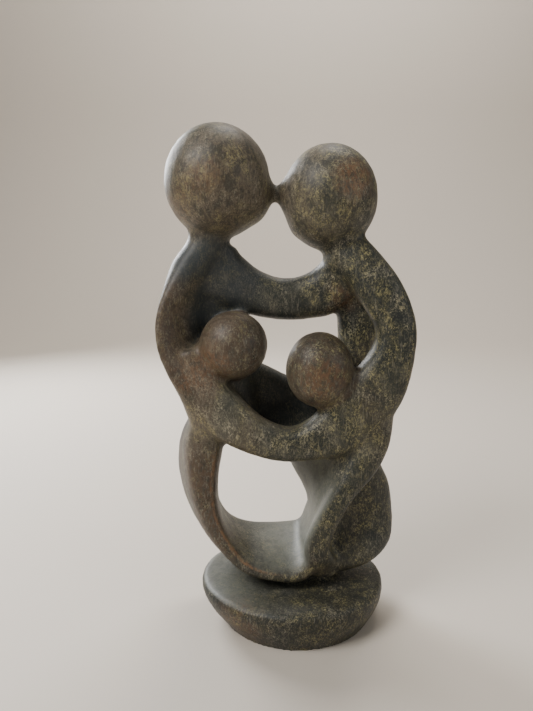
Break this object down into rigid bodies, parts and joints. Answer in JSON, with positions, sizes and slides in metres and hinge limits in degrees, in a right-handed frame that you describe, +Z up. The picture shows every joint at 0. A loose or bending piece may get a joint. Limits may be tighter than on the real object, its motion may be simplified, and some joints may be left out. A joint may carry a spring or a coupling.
{
  "type": "family group sculpture",
  "caption": "Carved stone family: parents lean heads together and join arms in a ring around their children, over an open loop of legs on a low round plinth.",
  "frame": {"origin": "middle of the plinth's flat underside", "axes": "+Z up, the open side of the arms faces -Y, the shorter-headed parent stands at +X"},
  "size_m": [0.1404, 0.0936, 0.2807],
  "materials": {
    "stone": "waxed, satin"
  },
  "bodies": {
    "root": {"family_carving": "stone"}
  },
  "joints": []
}
